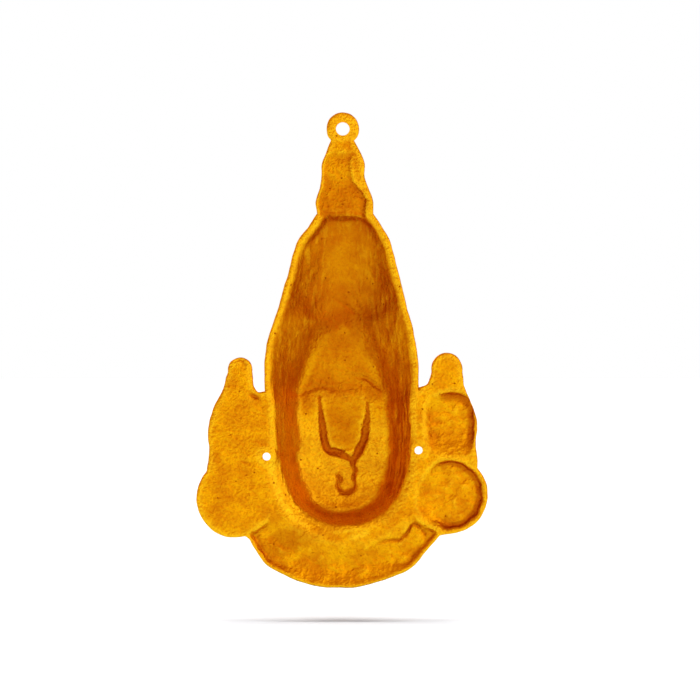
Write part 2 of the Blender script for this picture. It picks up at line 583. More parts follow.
backForm = {
    "wall": 2.5,
    "rim": 2.5,
    "pocketWall": 1.2,
    "leastWall": 0.9,
    "run": (  # how far the wall's foot reaches inwards
        (-26.0, 4.0), (-30.0, 7.4), (-36.0, 11.2), (-44.0, 14.0), (-50.0, 16.0), (-56.0, 17.8),
        (-62.5, 19.2), (-71.5, 16.6), (-78.4, 13.4), (-81.6, 11.6), (-86.0, 9.2), (-105.0, 8.5),
        (-115.0, 7.4), (-121.0, 5.4), (-128.0, 4.2),
    ),
    "floorEase": (
        (-28.0, 1.0), (-50.0, 1.0), (-57.0, 0.7), (-62.0, 0.4), (-84.0, 0.35), (-128.0, 0.5),
    ),
    "mouthTrim": ((-26.0, 0.4), (-40.0, 0.7), (-60.0, 0.9), (-80.0, 0.8), (-88.0, 0.0)),
    "crownFloor": (  # z, reach to +X, reach to -X
        (-52.0, -2.0, -2.0), (-60.5, -1.2, -1.2), (-63.5, 0.4, 0.4), (-67.0, 2.8, 3.2),
        (-70.8, 5.0, 6.2), (-78.8, 8.6, 10.0), (-84.0, 11.0, 12.6),
    ),
    "topStep": 1.3,  # the hollow starts with a step under the spire
    "markDepth": 0.85,
    "noseDepth": 0.8,
    "panelDepth": 0.55,  # the sunk field between the mark's bars
    "bowlDepth": 0.8,
    "rosetteDepth": 2.2,
    "discusPocket": ((-33.3, -95.0), (9.1, 11.0), 2.0),  # centre, half sizes, depth
    "collarDepth": 1.7,
    "lipStreak": (  # a ridge polished bright beside the hollow
        (22.4, -96.0), (22.6, -108.0), (20.6, -117.0), (17.4, -122.4), (13.4, -126.0),
        (5.6, -130.8),
    ),
    "lowStreak": ((-1.0, -131.6), (-5.0, -130.4), (-9.0, -128.6)),
    "collarStain": ((16.5, -131.5), (11.5, 4.6), -0.42),  # centre, half sizes, turn
    "crownStain": ((-8.2, -31.5), (-11.8, -44.0), (-15.6, -66.0)),
    "spireFold": (
        (-3.6, -7.8), (-2.6, -10.2), (-2.6, -12.8), (-3.4, -16.8), (-6.2, -20.0), (-7.7, -22.6),
        (-7.5, -26.4),
    ),
    "creases": (  # plan line, half width, depth
        (((16.9, -86.4), (12.7, -84.4), (7.9, -83.0), (1.7, -83.6)), 0.9, 0.35),
        (((-3.9, -79.4), (-8.0, -80.4), (-13.5, -84.3)), 1.0, 0.6),
        (((1.2, -55.0), (-2.4, -57.6), (-5.6, -60.2)), 0.7, 0.35),
        (((-3.0, -54.0), (-6.2, -57.4)), 0.6, 0.3),
        (((4.2, -60.6), (0.8, -64.0)), 0.6, 0.25),
        (((33.6, -106.3), (31.4, -106.8), (29.2, -107.0)), 0.55, 0.4),
        (((30.0, -84.4), (28.4, -85.6), (26.6, -86.6)), 0.9, 0.6),
        (((34.3, -74.5), (32.9, -74.1), (31.6, -75.2)), 0.6, 0.35),
        (((-3.1, -106.6), (-3.6, -108.4), (-4.1, -110.2), (-3.5, -112.6), (-3.9, -115.0)),
         1.0, 0.8),
        (((-4.0, -115.2), (-1.9, -116.9), (0.2, -116.9), (1.9, -115.0)), 1.1, 0.9),
        (((1.9, -111.2), (0.6, -112.8), (1.4, -114.6)), 0.8, 0.6),
        (((3.4, -103.4), (0.6, -103.6), (-2.9, -102.4)), 0.55, 0.35),
        (((-11.6, -132.6), (-15.0, -132.0), (-18.2, -131.6), (-20.6, -129.2), (-22.4, -126.8),
          (-24.4, -127.6), (-26.2, -130.2), (-26.4, -132.6)), 0.6, 0.7),
    ),
    "edgeRoll": (0.5, 0.8),  # depth and width of the rounded outer edge
}


def mouthGap(x, z):  # inside the hollow's wavering mouth
    gap = loopDistance(x, z, loops["rim"]) - backForm["rim"] + along(z, backForm["mouthTrim"])
    return gap + 0.22 * lumps(x, z, 5.2, 3.0) + 0.1 * lumps(x, z, 1.7, 5.0)


def mouthLip(x, z, intoMouth):  # the wall plane rolls into the hollow
    broad = smoothStep(x, -5.0, 11.0) * smoothStep(z, -98.0, -112.0)
    narrow = smoothStep(-x, 4.0, 14.0) * smoothStep(z, -94.0, -104.0)
    width = 1.0 + 3.6 * broad + 1.4 * narrow
    depth = 0.3 + 1.2 * broad + 0.4 * narrow
    return depth * np.clip(1.0 + intoMouth / width, 0.0, 1.2) ** 1.6


def headHollow(x, z, intoMouth):
    uneven = 0.02 + 0.07 * smoothStep(z, -78.0, -90.0)
    run = along(z, backForm["run"]) * (1.0 + uneven * lumps(x, z, 3.4, 11.0))
    rise = easedRamp(intoMouth, run, 0.4, run * along(z, backForm["floorEase"]))
    foot = frontForm["crownFoot"]
    crownStep = 0.7 * smoothStep(z + 0.9 * lumps(x, z, 4.0, 9.0), foot - 2.6, foot + 3.4)
    bowl = backForm["bowlDepth"] * mound(x, z, (-0.3, -103.0), (16.0, 18.0))
    top = z + 0.5 * lumps(x, z, 4.0, 15.0)
    step = backForm["topStep"] * smoothStep(-top, 26.6, 29.8) * smoothStep(z, -42.0, -30.0)
    step = step * smoothStep(intoMouth, 0.0, 2.4)
    return (headFront(z) - backForm["wall"] - 1.4 + crownStep + bowl) * rise + step


def markGroove(x, z):  # rounded, thin at the bars' tops
    groove = np.zeros_like(x)
    for bar in markBars:
        gap, place = lineDistance(x, z, smoothThrough(bar))
        gap = gap + 0.16 * lumps(x, z, 1.6, 21.0)
        grown = smoothStep(place, 0.0, 0.5)
        groove = np.maximum(groove, (0.45 + 0.55 * grown) * ridge(gap, 0.6 + 1.0 * grown, 1.1))
    return groove


def markHollow(x, z):
    across = smoothStep(x, -8.4, -4.8) * smoothStep(-x, -8.0, -4.6)
    sunk = np.clip((-86.0 - z) / 16.0, 0.0, 1.0) * smoothStep(z, -106.0, -102.0) * across
    return backForm["markDepth"] * markGroove(x, z) + backForm["panelDepth"] * sunk


def noseHollow(x, z):
    wave = 0.55 * lumps(x, z, 2.4, 23.0) + 0.25 * lumps(x, z, 1.1, 25.0)
    right = smoothStep(x + wave, -4.1, -3.1)
    left = smoothStep(-x + wave, -2.9, 0.9 - 1.6 * smoothStep(z, -109.5, -112.0))
    foot = smoothStep(z - 0.13 * (x + 1.0) ** 2 + 0.6 * wave, -117.1, -116.0)
    return backForm["noseDepth"] * right * left * foot * smoothStep(z, -105.0, -109.0)


def pockets(x, z, into):  # depth, and the share of a dark steep side
    (cx, cz), radius = castingPlan["discusRosette"]
    out = np.hypot(x - cx, z - cz)
    openSide = smoothStep((x - cx) / np.maximum(out, 1e-6), -0.1, 0.85)
    wave = 0.35 * lumps(x, z, 2.6, 31.0)
    inRosette = radius - 1.3 - out + wave
    rosette = easedRamp(inRosette, 1.2 + 8.0 * openSide, 0.2 + openSide, 0.5 + 6.0 * openSide)
    (px, pz), (halfWidth, halfHeight), discusDepth = backForm["discusPocket"]
    across, up = np.abs(x - px) / halfWidth, np.abs(z - pz) / halfHeight
    inDiscus = halfWidth * (1.0 - (across ** 3.4 + up ** 3.4) ** (1 / 3.4)) + 0.6 * wave
    openLeft = smoothStep(x - px, -2.0, 6.0)
    discus = easedRamp(inDiscus, 1.3 + 6.0 * openLeft, 0.2 + openLeft, 0.8 + 4.0 * openLeft)
    discus = discus * smoothStep(z, -106.8, -97.0)
    beside = smoothStep(-into, 0.0, 4.5)
    rosetteSide = ridge(inRosette - 0.9, 1.5) * (1.0 - openSide)
    discusSide = ridge(inDiscus - 1.0, 1.7) * (1.0 - openLeft) * smoothStep(z, -104.0, -98.0)
    sides = np.maximum(rosetteSide, discusSide)
    depth = np.maximum(rosette * backForm["rosetteDepth"], discus * discusDepth)
    return depth * beside, sides * beside


def flangeHollow(x, z, edge, into):
    sunk, _ = pockets(x, z, into)
    wave = 0.35 * lumps(x, z, 2.6, 31.0)
    lowRim = smoothStep(-np.abs(x), -22.0, -8.0)
    clear = np.clip((edge + 0.5 * wave - 0.8) / (1.2 + 4.0 * lowRim), 0.0, 1.0)
    clear = clear ** (1.0 - 0.4 * lowRim) * smoothStep(-into, 1.5, 10.0)
    clear = clear * smoothStep(z + 0.05 * np.abs(x), -119.0, -129.0)
    for centre, reach in (castingPlan["conchRosette"], castingPlan["discusRosette"]):
        beyond = np.hypot(x - centre[0], z - centre[1]) - reach
        clear = clear * smoothStep(beyond + wave, -1.0, 0.8)
    floor = np.maximum(sunk > 0.8, clear)  # rough, where the sand was rammed loosely
    rough = floor * (0.32 * lumps(x, z, 3.4, 41.0) + 0.2 * lumps(x, z, 1.6, 43.0))
    return np.maximum(sunk, backForm["collarDepth"] * clear) + rough


def spireHollow(x, z, edge):
    beyond = foldSide(x, z)
    inside = smoothStep(z, -7.0, -9.4) * smoothStep(z, -30.0, -27.0)
    deeper = 1.0 * np.exp(-np.clip(beyond, 0.0, 20.0) / 5.0) * smoothStep(z, -12.0, -21.0)
    return (0.6 + deeper) * inside * smoothStep(beyond, 0.0, 0.8) * smoothStep(edge, 0.1, 1.4)


def creaseDepth(x, z):
    depth = np.zeros_like(x)
    for line, halfWidth, deep in backForm["creases"]:
        gap, place = lineDistance(x, z, smoothThrough(line))
        gap = gap + 0.25 * lumps(x, z, 2.0, 51.0) + 0.15 * lumps(x, z, 0.9, 53.0)
        depth += deep * ridge(gap, halfWidth, 1.2) * np.sin(math.pi * (0.08 + 0.84 * place))
    return depth


def roughness(x, z, wall):  # how the cast surface waves
    broad = 0.22 * lumps(x, z, 9.0, 61.0) + 0.12 * lumps(x, z, 4.0, 63.0)
    fine = 0.06 * lumps(x, z, 1.9, 65.0) + 0.045 * lumps(x, z, 1.15, 67.0)
    streaks = 0.2 * lumps(x * 2.6, z * 0.55, 4.0, 69.0) + 0.1 * lumps(x * 2.2, z * 0.6, 2.0, 71.0)
    return broad + fine + wall * faceShare(z) * streaks


def faceShare(z):  # the walls are plainer up in the crown
    return 0.3 + 0.7 * smoothStep(-z, 76.0, 90.0)


def besideCrownFloor(x, z):  # outside the floor that opens like an hourglass
    plus, minus = reaches(z, backForm["crownFloor"])
    beyond = np.maximum(x - plus, -minus - x) + 0.5 * lumps(x, z, 3.0, 13.0)
    return smoothStep(beyond, -0.8, 1.4) * smoothStep(-z, 48.0, 59.0) * smoothStep(z, -86.0, -81.0)


def foldSide(x, z):  # how far beyond the spire's fold, to +X
    foldX, foldZ = np.array(backForm["spireFold"]).T
    return x - np.interp(z, foldZ[::-1], foldX[::-1])


# Brown (+) and bright (-), placed by eye: partly the metal's own skin, partly in place of shading
def hollowTint(x, z, into, intoMouth, steepWall):
    lit = 1.0 - steepWall * along(z, ((-40.0, 0.0), (-60.0, 0.2), (-72.0, 0.55), (-84.0, 0.85)))
    inside = smoothStep(intoMouth, -0.2, 0.5) * smoothStep(z, -98.0, -82.0) * lit
    beside = besideCrownFloor(x, z)
    apex = 0.5 * beside + 0.16 * smoothStep(z, -64.0, -56.0) + 0.15 * smoothStep(z, -38.0, -30.0)
    meeting = 1.3 * beside * mound(x, z, (0.4, -59.5), (13.0, 9.5), power=0.5)
    gap, _ = lineDistance(x, z, smoothThrough(backForm["crownStain"]))
    shaded = ridge(gap, 6.0, 1.0) * smoothStep(intoMouth, 0.3, 1.5)
    topBand = ridge(z + 28.7 + 0.5 * lumps(x, z, 4.0, 15.0), 2.0, 1.0)
    topBand = topBand * smoothStep(intoMouth, -0.4, 0.4)
    panel = 0.85 * mound(x, z, (-0.4, -95.0), (8.5, 11.0), power=0.7)
    spire = (0.35 + 0.45 * smoothStep(z, -12.0, -22.0)) * smoothStep(z, -5.0, -9.0)
    spire = spire * smoothStep(z, -29.5, -27.5)
    spire = spire * (0.35 + 0.65 * smoothStep(foldSide(x, z), -0.5, 0.6))
    streak = np.zeros_like(x)
    for name, halfWidth in (("lipStreak", 2.0), ("lowStreak", 1.4)):
        gap, place = lineDistance(x, z, smoothThrough(backForm[name]))
        fade = smoothStep(place, 0.0, 0.25) * smoothStep(-place, -1.0, -0.8)
        streak = np.maximum(streak, ridge(gap, halfWidth, 1.0) * fade)
    centre, halfSizes, turn = backForm["collarStain"]
    stain = 0.8 * mound(x, z, centre, halfSizes, turn, power=0.4) * (1.0 - streak)
    floor = smoothStep(intoMouth, 3.0, 6.5)
    grooves = smoothStep(markGroove(x, z), 0.04, 0.35) * floor
    creased = smoothStep(creaseDepth(x, z), 0.08, 0.5)
    _, steep = pockets(x, z, into)
    brown = [inside * (0.68 + apex), meeting, shaded, 1.25 * topBand, panel * floor, spire, stain,
             1.2 * grooves, 1.15 * steep, 0.8 * creased]
    brown = np.max(brown, axis=0)
    cheeks = 0.4 * smoothStep(intoMouth, 6.0, 8.5) * smoothStep(z, -86.0, -93.0)
    litSide = 1.0 - smoothStep(-x, 6.0, 15.0) * smoothStep(z, -122.0, -114.0)
    lowWall = steepWall * litSide * smoothStep(z, -76.0, -90.0)
    lowWall = lowWall * (0.7 + 0.3 * smoothStep(z, -112.0, -126.0))
    polished = np.max([cheeks, streak, lowWall], axis=0)
    return brown - polished * np.clip(1.0 - brown, 0.0, 1.0)


def backDepth(x, z):  # the depth, and shares the material reads
    edge = loopDistance(x, z, loops["outline"])
    into = loopDistance(x, z, loops["head"])
    intoMouth = mouthGap(x, z)
    front = frontHeight(x, z)
    floor = smoothStep(intoMouth, 3.0, 6.5)
    marks = floor * np.maximum(markHollow(x, z), noseHollow(x, z))
    hollow = headHollow(x, z, intoMouth)
    run = along(z, backForm["run"])
    wall = smoothStep(intoMouth, -0.2, 0.6) * smoothStep(-intoMouth, -1.2 * run, -1.0)
    steepWall = smoothStep(intoMouth, -0.2, 0.6) * smoothStep(-intoMouth, -1.15 * run, -0.85 * run)
    foot = ridge(intoMouth - run, 0.5 * run, 1.0)
    deep = smoothMax(hollow + marks, mouthLip(x, z, intoMouth), 0.25)
    shallow = np.maximum(flangeHollow(x, z, edge, into), spireHollow(x, z, edge))
    depth = np.maximum(deep, np.minimum(shallow, front - backForm["pocketWall"]))
    depth += creaseDepth(x, z) + roughness(x, z, wall) * smoothStep(edge, 0.0, 1.5)
    rollDepth, rollWidth = backForm["edgeRoll"]
    roll = rollDepth * (1.0 - roundRise(edge / rollWidth))
    depth = np.minimum(seated(x, z, depth, 0.0), front - backForm["leastWall"]) + roll
    shades = {
        "hollow_wall": wall,
        "wall_streaks": wall * faceShare(z),
        "wall_foot": foot,
        "hollow_tint": hollowTint(x, z, into, intoMouth, steepWall),
    }
    return np.maximum(depth, 0.0), shades


# Fine mesh of the casting

skin = {
    "loopSpacing": 0.5,
    "frontSpacing": 0.47,
    "backSpacing": 0.5,
    "edgeSteps": (0.25, 0.6, 1.0, 1.5),  # rows of points inside every edge
    "cavityRounds": 24,
    "seed": 7, "jitter": 0.12,
}


def insetPoints(loop, distance):
    steps = np.roll(loop, -1, axis=0) - np.roll(loop, 1, axis=0)
    inwards = np.column_stack([steps[:, 1], -steps[:, 0]]) / np.hypot(*steps.T)[:, None]
    points = loop + inwards * distance
    gap = np.abs(loopDistance(points[:, 0], points[:, 1], loop))
    return points[gap > abs(distance) * 0.97 - 1e-6]


def lattice(spacing):  # staggered rows, gently jittered
    rng = np.random.default_rng(skin["seed"])
    points = []
    for number, z in enumerate(np.arange(-148.0, 6.0, spacing * math.sqrt(3) / 2)):
        columns = np.arange(-46.0 + (number % 2) * spacing / 2, 48.0, spacing)
        points.append(np.column_stack([columns, np.full(len(columns), z)]))
    points = np.vstack(points)
    return points + rng.uniform(-skin["jitter"], skin["jitter"], points.shape) * spacing


def thinned(groups, fixed, cell):  # keeps a gap round every point
    cells = {}

    def near(x, z, gap):
        column, row = int(x // cell), int(z // cell)
        for i in (-1, 0, 1):
            for j in (-1, 0, 1):
                for other in cells.get((column + i, row + j), ()):
                    if (other[0] - x) ** 2 + (other[1] - z) ** 2 < gap * gap:
                        return True
        return False

    for x, z in fixed.tolist():
        cells.setdefault((int(x // cell), int(z // cell)), []).append((x, z))
    kept = []
    for group, gap in groups:
        for x, z in group.tolist():
            if not near(x, z, gap):
                cells.setdefault((int(x // cell), int(z // cell)), []).append((x, z))
                kept.append((x, z))
    return np.array(kept)


def planMesh(edgeLoops, groups, cell):  # points and the triangles between them
    outline, holes = edgeLoops[0], edgeLoops[1:]
    fixed = np.vstack(edgeLoops)
    inner = []
    for group, gap in groups:
        clear = loopDistance(group[:, 0], group[:, 1], outline) > 0.4 * gap
        for hole in holes:
            clear &= loopDistance(group[:, 0], group[:, 1], hole) < -0.3 * gap
        inner.append((group[clear], gap))
    points = np.vstack([fixed, thinned(inner, fixed, cell)])
    edges, start = [], 0
    for loop in edgeLoops:
        edges += [(start + i, start + (i + 1) % len(loop)) for i in range(len(loop))]
        start += len(loop)
    found = delaunay_2d_cdt([tuple(point) for point in points], edges, [], 0, 1e-6)
    if len(found[0]) != len(points):
        raise ValueError("two plan points coincide, or two loops cross")
    source = np.array([ids[0] for ids in found[3]])
    triangles = source[np.array(found[2])]
    middles = points[triangles].mean(axis=1)
    kept = loopDistance(middles[:, 0], middles[:, 1], outline) > 0
    for hole in holes:
        kept &= loopDistance(middles[:, 0], middles[:, 1], hole) < 0
    return points, triangles[kept]


def facedTriangles(points, triangles, towardsFront):
    a, b, c = (points[triangles[:, i]] for i in range(3))
    turn = (b[:, 0] - a[:, 0]) * (c[:, 1] - a[:, 1]) - (b[:, 1] - a[:, 1]) * (c[:, 0] - a[:, 0])
    flipped = (turn > 0) != towardsFront
    triangles = triangles.copy()
    triangles[flipped] = triangles[flipped][:, ::-1]
    return triangles


def wavered(points):  # hand-made waver of every line in plan
    x, z = points.T
    calm = np.ones_like(x)
    for centre, radius in holeCircles():
        out = np.hypot(x - centre[0], z - centre[1]) - radius
        calm *= smoothStep(out, 0.0, 3.0)
    across = 0.26 * lumps(x, z, 6.0, 81.0) + 0.09 * lumps(x, z, 2.1, 83.0)
    up = 0.26 * lumps(x, z, 6.0, 85.0) + 0.09 * lumps(x, z, 2.1, 87.0)
    return points + np.column_stack([across * calm, up * calm])


def cavity(mesh):  # mm below (+) or above (-) the smoothed surface
    count = len(mesh.vertices)
    points, normals = np.empty(count * 3), np.empty(count * 3)
    mesh.vertices.foreach_get("co", points)
    mesh.vertices.foreach_get("normal", normals)
    points = points.reshape(-1, 3)
    ends = np.empty(len(mesh.edges) * 2, int)
    mesh.edges.foreach_get("vertices", ends)
    a, b = ends.reshape(-1, 2).T
    here, there = np.concatenate([a, b]), np.concatenate([b, a])
    share = 0.5 / np.bincount(here, minlength=count)
    smooth = points
    for _ in range(skin["cavityRounds"]):
        around = np.column_stack([np.bincount(here, smooth[there, i], count) for i in range(3)])
        smooth = 0.5 * smooth + around * share[:, None]
    return ((smooth - points) * normals.reshape(-1, 3)).sum(axis=1) / toMetres


def addShare(mesh, name, values):
    layer = mesh.attributes.new(name, "FLOAT", "POINT")
    layer.data.foreach_set("value", np.asarray(values, np.float32))


def castingSkin():
    outline = outlineLoop(skin["loopSpacing"])
    holes = [ring(centre, radius, 24 if radius < 2 else 36) for centre, radius in holeCircles()]
    edgeLoops = [outline, *holes]
    head = headLoop(skin["loopSpacing"])
    rim = headLoop(skin["loopSpacing"], castingPlan["mouthLift"])
    gap = 0.75 * skin["frontSpacing"]
    seats = [(ring(c, r + castingPlan["seatWidth"], 30), 0.6 * gap) for c, r in holeCircles()]
    edges = [(insetPoints(outline, step), 0.6 * gap) for step in skin["edgeSteps"]]
    feet = [(insetPoints(head, step), 0.6 * gap) for step in (0.0, 0.3, 0.7)]
    frontGroups = [*seats, *edges, *feet, (lattice(skin["frontSpacing"]), gap)]
    mouth = [(insetPoints(rim, backForm["rim"] + step), 0.6 * gap) for step in (0.0, 0.35, 0.8)]
    backGap = 0.75 * skin["backSpacing"]
    backGroups = [*seats, *edges, *mouth, (lattice(skin["backSpacing"]), backGap)]
    frontPoints, frontTriangles = planMesh(edgeLoops, frontGroups, 0.5)
    backPoints, backTriangles = planMesh(edgeLoops, backGroups, 0.5)
    fronts = frontHeight(*frontPoints.T)
    depths, shades = backDepth(*backPoints.T)
    print("relief worked out at", len(fronts) + len(depths), "points")

    plan = wavered(np.vstack([frontPoints, backPoints]))
    outwards = -np.concatenate([fronts, depths])
    places = np.column_stack([plan[:, 0], outwards, plan[:, 1]]) * toMetres
    shift = len(frontPoints)
    triangles = [facedTriangles(frontPoints, frontTriangles, True),
                 facedTriangles(backPoints, backTriangles, False) + shift]
    start = 0
    for loop in edgeLoops:  # the wall between the two faces
        here = start + np.arange(len(loop))
        there = start + (np.arange(len(loop)) + 1) % len(loop)
        triangles.append(np.column_stack([here, there, there + shift]))
        triangles.append(np.column_stack([here, there + shift, here + shift]))
        start += len(loop)
    mesh = bpy.data.meshes.new("casting_skin")
    mesh.from_pydata(places.tolist(), [], np.vstack(triangles).tolist())
    shell = bmesh.new()
    shell.from_mesh(mesh)
    bmesh.ops.recalc_face_normals(shell, faces=shell.faces)
    shell.to_mesh(mesh)
    shell.free()
    mesh.shade_smooth()
    mesh.set_sharp_from_angle(angle=math.radians(62))
    shades = {name: np.concatenate([np.zeros(shift), values]) for name, values in shades.items()}
    shades["cavity"] = cavity(mesh) * (1.0 - 0.75 * shades.pop("wall_foot"))
    for name, values in shades.items():
        addShare(mesh, name, values)
    return mesh


# Materials

def linear(hexColour):  # sRGB hex to linear RGBA
    channels = [int(hexColour[i:i + 2], 16) / 255 for i in (1, 3, 5)]
    return [c / 12.92 if c <= 0.04045 else ((c + 0.055) / 1.055) ** 2.4 for c in channels] + [1.0]


def addNode(tree, kind, inputs=None, **settings):  # nodes and sockets among the inputs are linked
    node = tree.nodes.new(kind)
    for name, value in settings.items():
        setattr(node, name, value)
    for name, value in (inputs or {}).items():
        if isinstance(value, bpy.types.Node):
            value = value.outputs[0]
        if isinstance(value, bpy.types.NodeSocket):
            tree.links.new(value, node.inputs[name])
        else:
            node.inputs[name].default_value = value
    return node


def mathNode(tree, operation, first, second):
    return addNode(tree, "ShaderNodeMath", {0: first, 1: second}, operation=operation)


def rampNode(tree, value, low, high, atLow=0.0, atHigh=1.0, **settings):
    ends = {"From Min": low, "From Max": high, "To Min": atLow, "To Max": atHigh}
    return addNode(tree, "ShaderNodeMapRange", {"Value": value, **ends}, **settings)


def mixNode(tree, share, colour, hexColour):  # lays the hex colour over the other one
    inputs = {"Factor": share, "A": colour, "B": linear(hexColour)}
    return addNode(tree, "ShaderNodeMix", inputs, data_type="RGBA").outputs["Result"]


def noiseNode(tree, place, sizeMm, detail, distortion=0.0):
    inputs = {"Vector": place, "Scale": 1.0 / sizeMm, "Detail": detail, "Distortion": distortion}
    return addNode(tree, "ShaderNodeTexNoise", inputs)


def newMaterial(name):
    material = bpy.data.materials.new(name)
    material.use_nodes = True
    material.node_tree.nodes.clear()
    return material


brassLook = {
    "flat": "#E5A606",  # cast brass where it faces the light
    "dull": "#D58C06",  # where the sand left it rougher
    "tinted": "#AC4E02",  # deep in the hollow, never cleaned of its skin
    "crevice": "#B25A05",
    "burnished": "#F2C318",  # rims and edges that hands and cloths reach
    "grazing": "#FFB431",
    "roughness": (0.38, 0.5),
    "grainMm": 0.85, "grainDepthMm": 0.22,
    "wormMm": 1.9, "wormDepthMm": 0.33,
    "streakMm": (1.1, 1.8, 7.0), "streakDepthMm": 0.55,
    "patchMm": 6.0,
    "tintShare": 0.72,
    "wallShare": 0.08,
    "pitMm": 4.2, "pitDepthMm": 0.18,
}


def castBrass():  # sand-cast brass: golden, satin, grainy
    look = brassLook
    material = newMaterial("lacquered_sand_cast_brass")
    tree = material.node_tree
    place = addNode(tree, "ShaderNodeTexCoord").outputs["Object"]
    mm = addNode(tree, "ShaderNodeMapping", {"Scale": (1000.0, 1000.0, 1000.0), "Vector": place})
    bend = addNode(tree, "ShaderNodeTexNoise", {"Scale": 0.45, "Detail": 2.0, "Vector": mm})
    bend = addNode(tree, "ShaderNodeVectorMath",
                   {0: bend.outputs["Color"], 1: (1.5, 1.5, 1.5), 2: (-0.75, -0.75, -0.75)},
                   operation="MULTIPLY_ADD")
    bent = addNode(tree, "ShaderNodeVectorMath", {0: mm, 1: bend}, operation="ADD")
    wall, streaky, tint, hollowness = [
        addNode(tree, "ShaderNodeAttribute", attribute_name=name).outputs["Fac"]
        for name in ("hollow_wall", "wall_streaks", "hollow_tint", "cavity")
    ]

    grain = noiseNode(tree, bent, look["grainMm"], 1.0)
    worm = noiseNode(tree, bent, look["wormMm"], 1.5, 1.2)
    patch = noiseNode(tree, bent, look["patchMm"], 3.0)
    long = addNode(tree, "ShaderNodeMapping",
                   {"Scale": [1.0 / size for size in look["streakMm"]], "Vector": bent})
    streak = noiseNode(tree, long, 1.0, 1.0)
    cells = addNode(tree, "ShaderNodeTexVoronoi",
                    {"Scale": 1.0 / look["pitMm"], "Randomness": 1.0, "Vector": mm})
    pit = rampNode(tree, cells.outputs["Distance"], 0.04, 0.085, 1.0, 0.0,
                   interpolation_type="SMOOTHSTEP")

    base = mixNode(tree, rampNode(tree, patch, 0.4, 0.62), linear(look["flat"]), look["dull"])
    tinted = mathNode(tree, "MAXIMUM", mathNode(tree, "MULTIPLY", tint, look["tintShare"]),
                      mathNode(tree, "MULTIPLY", wall, look["wallShare"]))
    base = mixNode(tree, tinted, base, look["tinted"])
    for shade, low, high in (("burnished", 0.52, 0.62), ("tinted", 0.48, 0.38)):
        line = mathNode(tree, "MULTIPLY", rampNode(tree, streak, low, high, 0.0, 0.7), streaky)
        base = mixNode(tree, line, base, look[shade])
    raised = mathNode(tree, "MULTIPLY", rampNode(tree, hollowness, -0.02, -0.2, 0.0, 0.6),
                      mathNode(tree, "SUBTRACT", 1.0, wall))
    polished = mathNode(tree, "MAXIMUM", raised, rampNode(tree, tint, 0.0, -1.0))
    base = mixNode(tree, polished, base, look["burnished"])
    low = mathNode(tree, "MAXIMUM", rampNode(tree, grain, 0.34, 0.54, 0.32, 0.0), pit)
    low = mathNode(tree, "MAXIMUM", low, rampNode(tree, hollowness, 0.03, 0.3, 0.0, 0.5))
    base = mixNode(tree, low, base, look["crevice"])

    calmer = rampNode(tree, wall, 0.0, 0.6, 1.0, 0.3)
    bumps = (  # depth, strength, height
        (look["grainDepthMm"], calmer, grain), (look["wormDepthMm"], calmer, worm),
        (look["streakDepthMm"], streaky, streak),
    )
    below = {}
    for depthMm, strength, height in bumps:
        inputs = {"Distance": depthMm * 0.001, "Strength": strength, "Height": height, **below}
        below = {"Normal": addNode(tree, "ShaderNodeBump", inputs)}
    inputs = {"Distance": look["pitDepthMm"] * 0.001, "Height": pit, **below}
    pitted = addNode(tree, "ShaderNodeBump", inputs, invert=True)
    shader = addNode(tree, "ShaderNodeBsdfPrincipled", {
        "Metallic": 1.0, "Specular Tint": linear(look["grazing"]), "Base Color": base,
        "Roughness": rampNode(tree, patch, 0.35, 0.65, *look["roughness"]), "Normal": pitted,
    })
    addNode(tree, "ShaderNodeOutputMaterial", {"Surface": shader})
    return material


# Strings of cast beads

beads = {
    "diameterMm": 1.5,
    "spacing": 1.05,  # in diameters, so that they almost touch
    "scatter": 0.08,  # share by which a bead may be larger or smaller
    "seed": 5,
    "segments": 8, "rings": 6,
    "sunkMm": 0.15,  # how far a bead's middle lies in the relief
    "ringShares": (0.7, 0.8, 0.95, 0.95),  # shares of the size, ring by ring
    "bandEdges": ((-78.8, 0.8), (-83.6, 0.8)),  # z, share of the size
    "rosetteShare": 0.9, "discusShare": 0.55, "hemShare": 0.85,
    "plaqueRim": (0.88, 0.7),  # share of the leaf, share of the size
}


def beadLines():  # plan line, share of the size, closed
    plaque = crownCarving["plaque"]
    turns = np.linspace(-1.2, 1.2, 121)
    ringPlaces = [row[0] for row in crownCarving["rings"]]
    for z, share in (*zip(ringPlaces, beads["ringShares"]), *beads["bandEdges"]):
        middle, halfWidth = widthAt(np.full_like(turns, z), "crownEdge")
        line = np.column_stack([middle + halfWidth * np.sin(turns), np.full_like(turns, z)])
        up = (z - plaque["foot"]) / (plaque["tip"] - plaque["foot"])
        covered = leafReach(np.array(up), plaque["halfWidth"], plaque["swell"])
        if covered > 0.5:  # the string passes behind the plaque
            yield line[line[:, 0] < -covered - 0.6], share, False
            yield line[line[:, 0] > covered + 0.6], share, False
        else:
            yield line, share, False
    around = fromFacePlace(np.radians(np.linspace(-155.0, -25.0, 131)), flankCarving["collarRidge"])
    yield around[around[:, 1] < -120.5], 1.0, False
    hem = insetPoints(loops["outline"], flankCarving["hemInset"])
    yield hem[(hem[:, 1] < -132.0) & (np.abs(hem[:, 0]) < 30.0)], beads["hemShare"], False
    for centre, radius in (castingPlan["conchRosette"], castingPlan["discusRosette"]):
        yield ring(centre, radius * flankCarving["rosetteRim"], 72), beads["rosetteShare"], True
    discus = ring(flankCarving["discusCentre"], flankCarving["discusRim"], 48)
    yield discus, beads["discusShare"], True
    rimShare, share = beads["plaqueRim"]
    up = np.linspace(0.03, 0.97, 60)
    side = leafReach(up, plaque["halfWidth"], plaque["swell"]) * rimShare
    z = plaque["foot"] + up * (plaque["tip"] - plaque["foot"])
    yield np.vstack([np.column_stack([side, z]), np.column_stack([-side, z])[::-1]]), share, True


